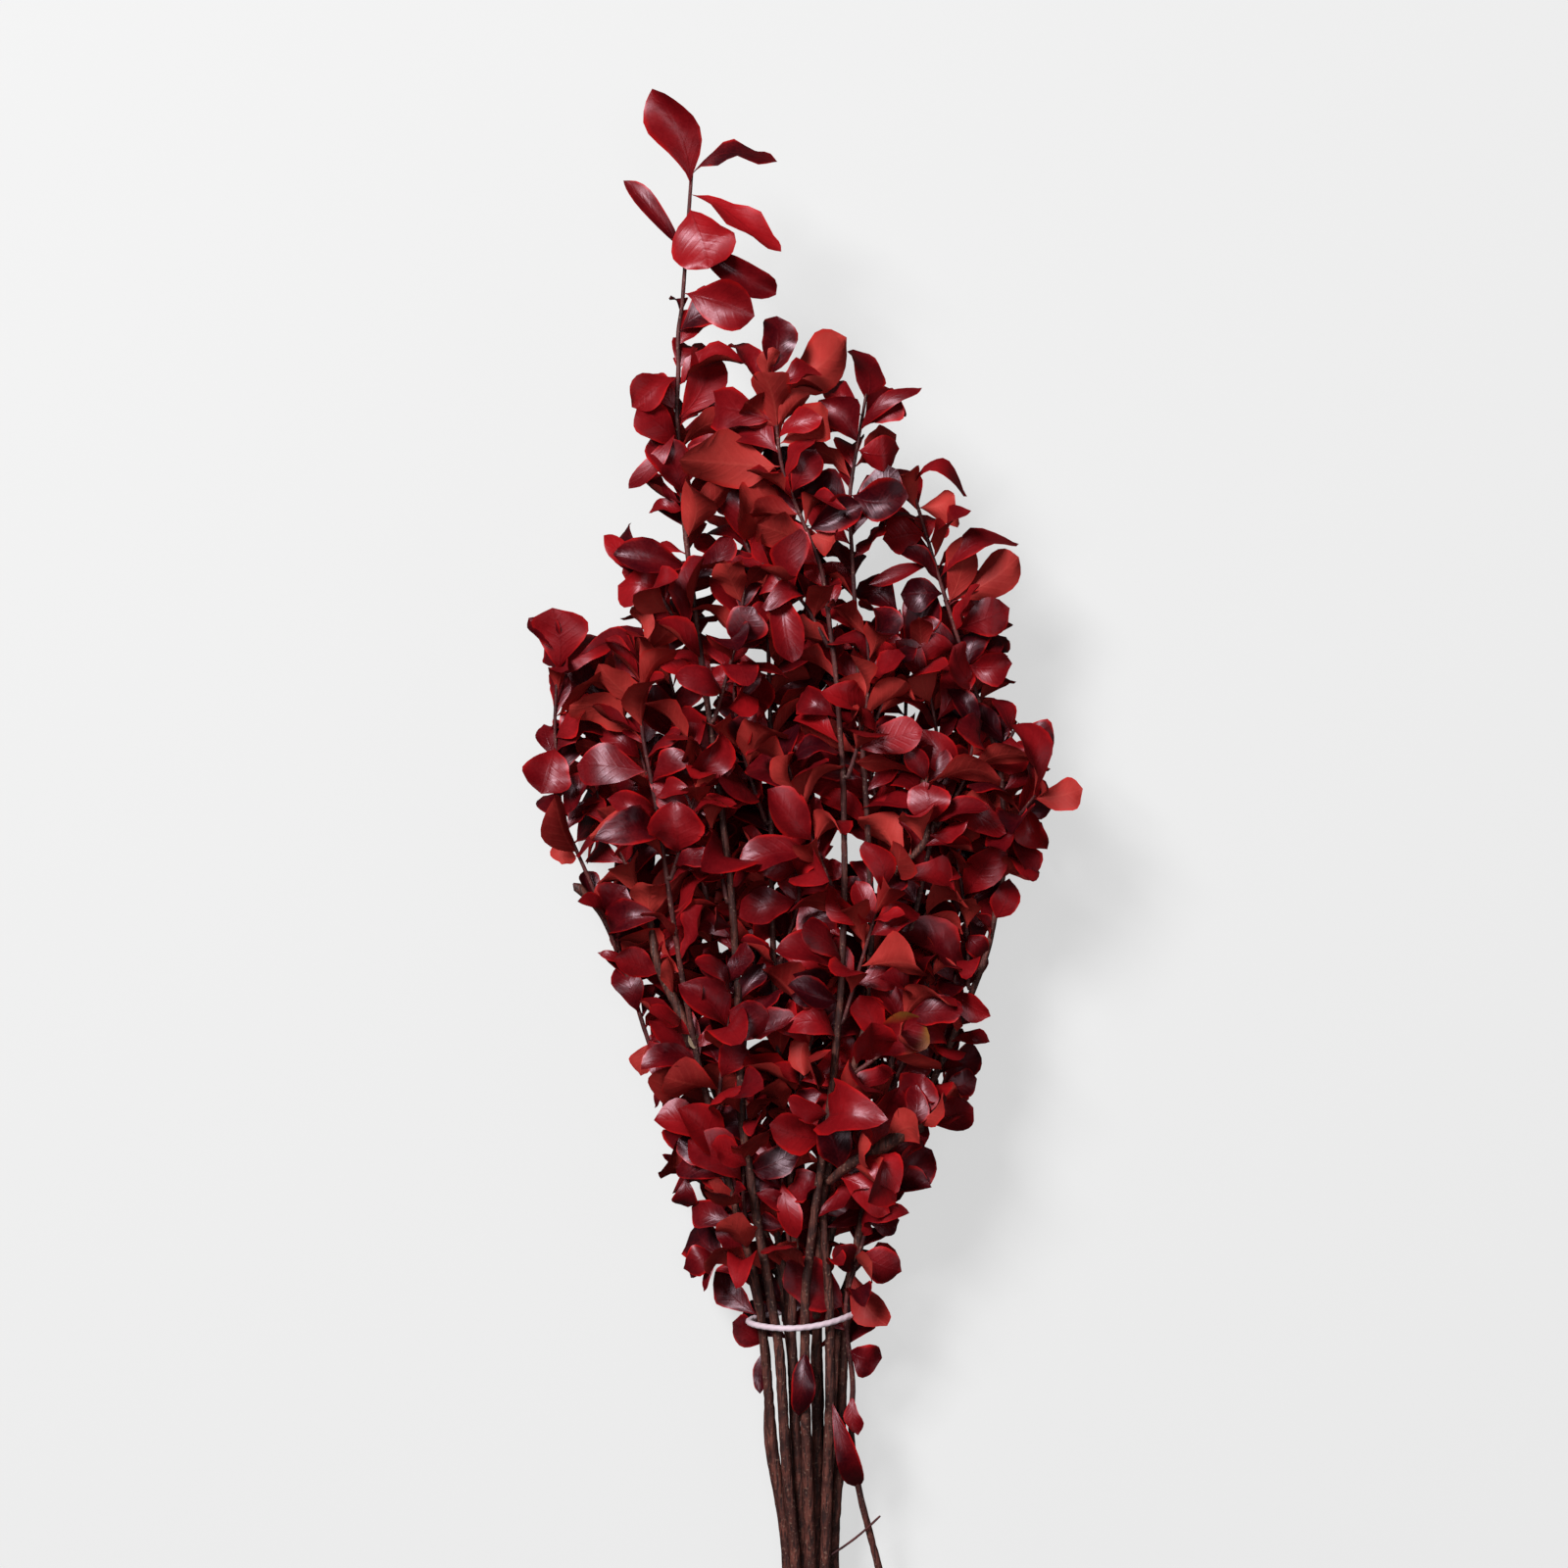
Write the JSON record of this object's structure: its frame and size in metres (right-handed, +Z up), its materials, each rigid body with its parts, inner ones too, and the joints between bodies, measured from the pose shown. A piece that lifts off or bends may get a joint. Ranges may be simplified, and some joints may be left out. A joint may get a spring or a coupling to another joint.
{
  "type": "preserved foliage bunch",
  "caption": "Tied bunch of preserved red pittosporum stems with glossy curled leaves, lying on its side, held by one elastic loop above the cut ends.",
  "frame": {"origin": "on the table under the middle of the whole bunch", "axes": "+Y from the cut ends towards the leafy tips, +Z up from the table, +X to the right as seen from above with the tips away"},
  "size_m": [0.2588, 0.7548, 0.1252],
  "materials": {
    "stem": "matt bark, preserved and dyed through",
    "leafy_twig": "glossy preserved leaves on thin twigs",
    "tie": "pale elastic band"
  },
  "bodies": {
    "root": {"back_center_low": "leafy_twig", "back_center_mid": "leafy_twig", "back_center_stem": "stem", "back_center_upper": "leafy_twig", "back_left_inner": "leafy_twig", "back_left_low": "leafy_twig", "back_left_outer": "leafy_twig", "back_left_stem": "stem", "back_right_low": "leafy_twig", "back_right_mid": "leafy_twig", "back_right_outer": "leafy_twig", "back_right_stem": "stem", "bare_twig": "stem", "inner_left_low": "leafy_twig", "inner_left_stem": "stem", "inner_left_upper": "leafy_twig", "inner_right_low": "leafy_twig", "inner_right_stem": "stem", "inner_right_upper": "leafy_twig", "left_inner": "leafy_twig", "left_low": "leafy_twig", "left_outer": "leafy_twig", "left_stem": "stem", "left_upper": "leafy_twig", "loose_right_stem": "stem", "mid_center_foot": "leafy_twig", "mid_center_low": "leafy_twig", "mid_center_mid": "leafy_twig", "mid_center_stem": "stem", "mid_center_upper": "leafy_twig", "outer_left_foot": "leafy_twig", "outer_left_low": "leafy_twig", "outer_left_shoot": "leafy_twig", "outer_left_stem": "stem", "right_center_foot": "leafy_twig", "right_center_low": "leafy_twig", "right_center_mid": "leafy_twig", "right_center_stem": "stem", "right_center_upper": "leafy_twig", "right_inner_low": "leafy_twig", "right_inner_mid": "leafy_twig", "right_inner_stem": "stem", "right_inner_upper": "leafy_twig", "right_outer_foot": "leafy_twig", "right_outer_low": "leafy_twig", "right_outer_mid": "leafy_twig", "right_outer_shoot": "leafy_twig", "right_outer_stem": "stem", "right_outer_upper": "leafy_twig", "tall_center_left": "leafy_twig", "tall_center_low": "leafy_twig", "tall_center_right": "leafy_twig", "tall_center_stem": "stem", "tall_center_upper": "leafy_twig", "tall_left_inner": "leafy_twig", "tall_left_low": "leafy_twig", "tall_left_shoot": "leafy_twig", "tall_left_stem": "stem", "tie": "tie"}
  },
  "joints": []
}
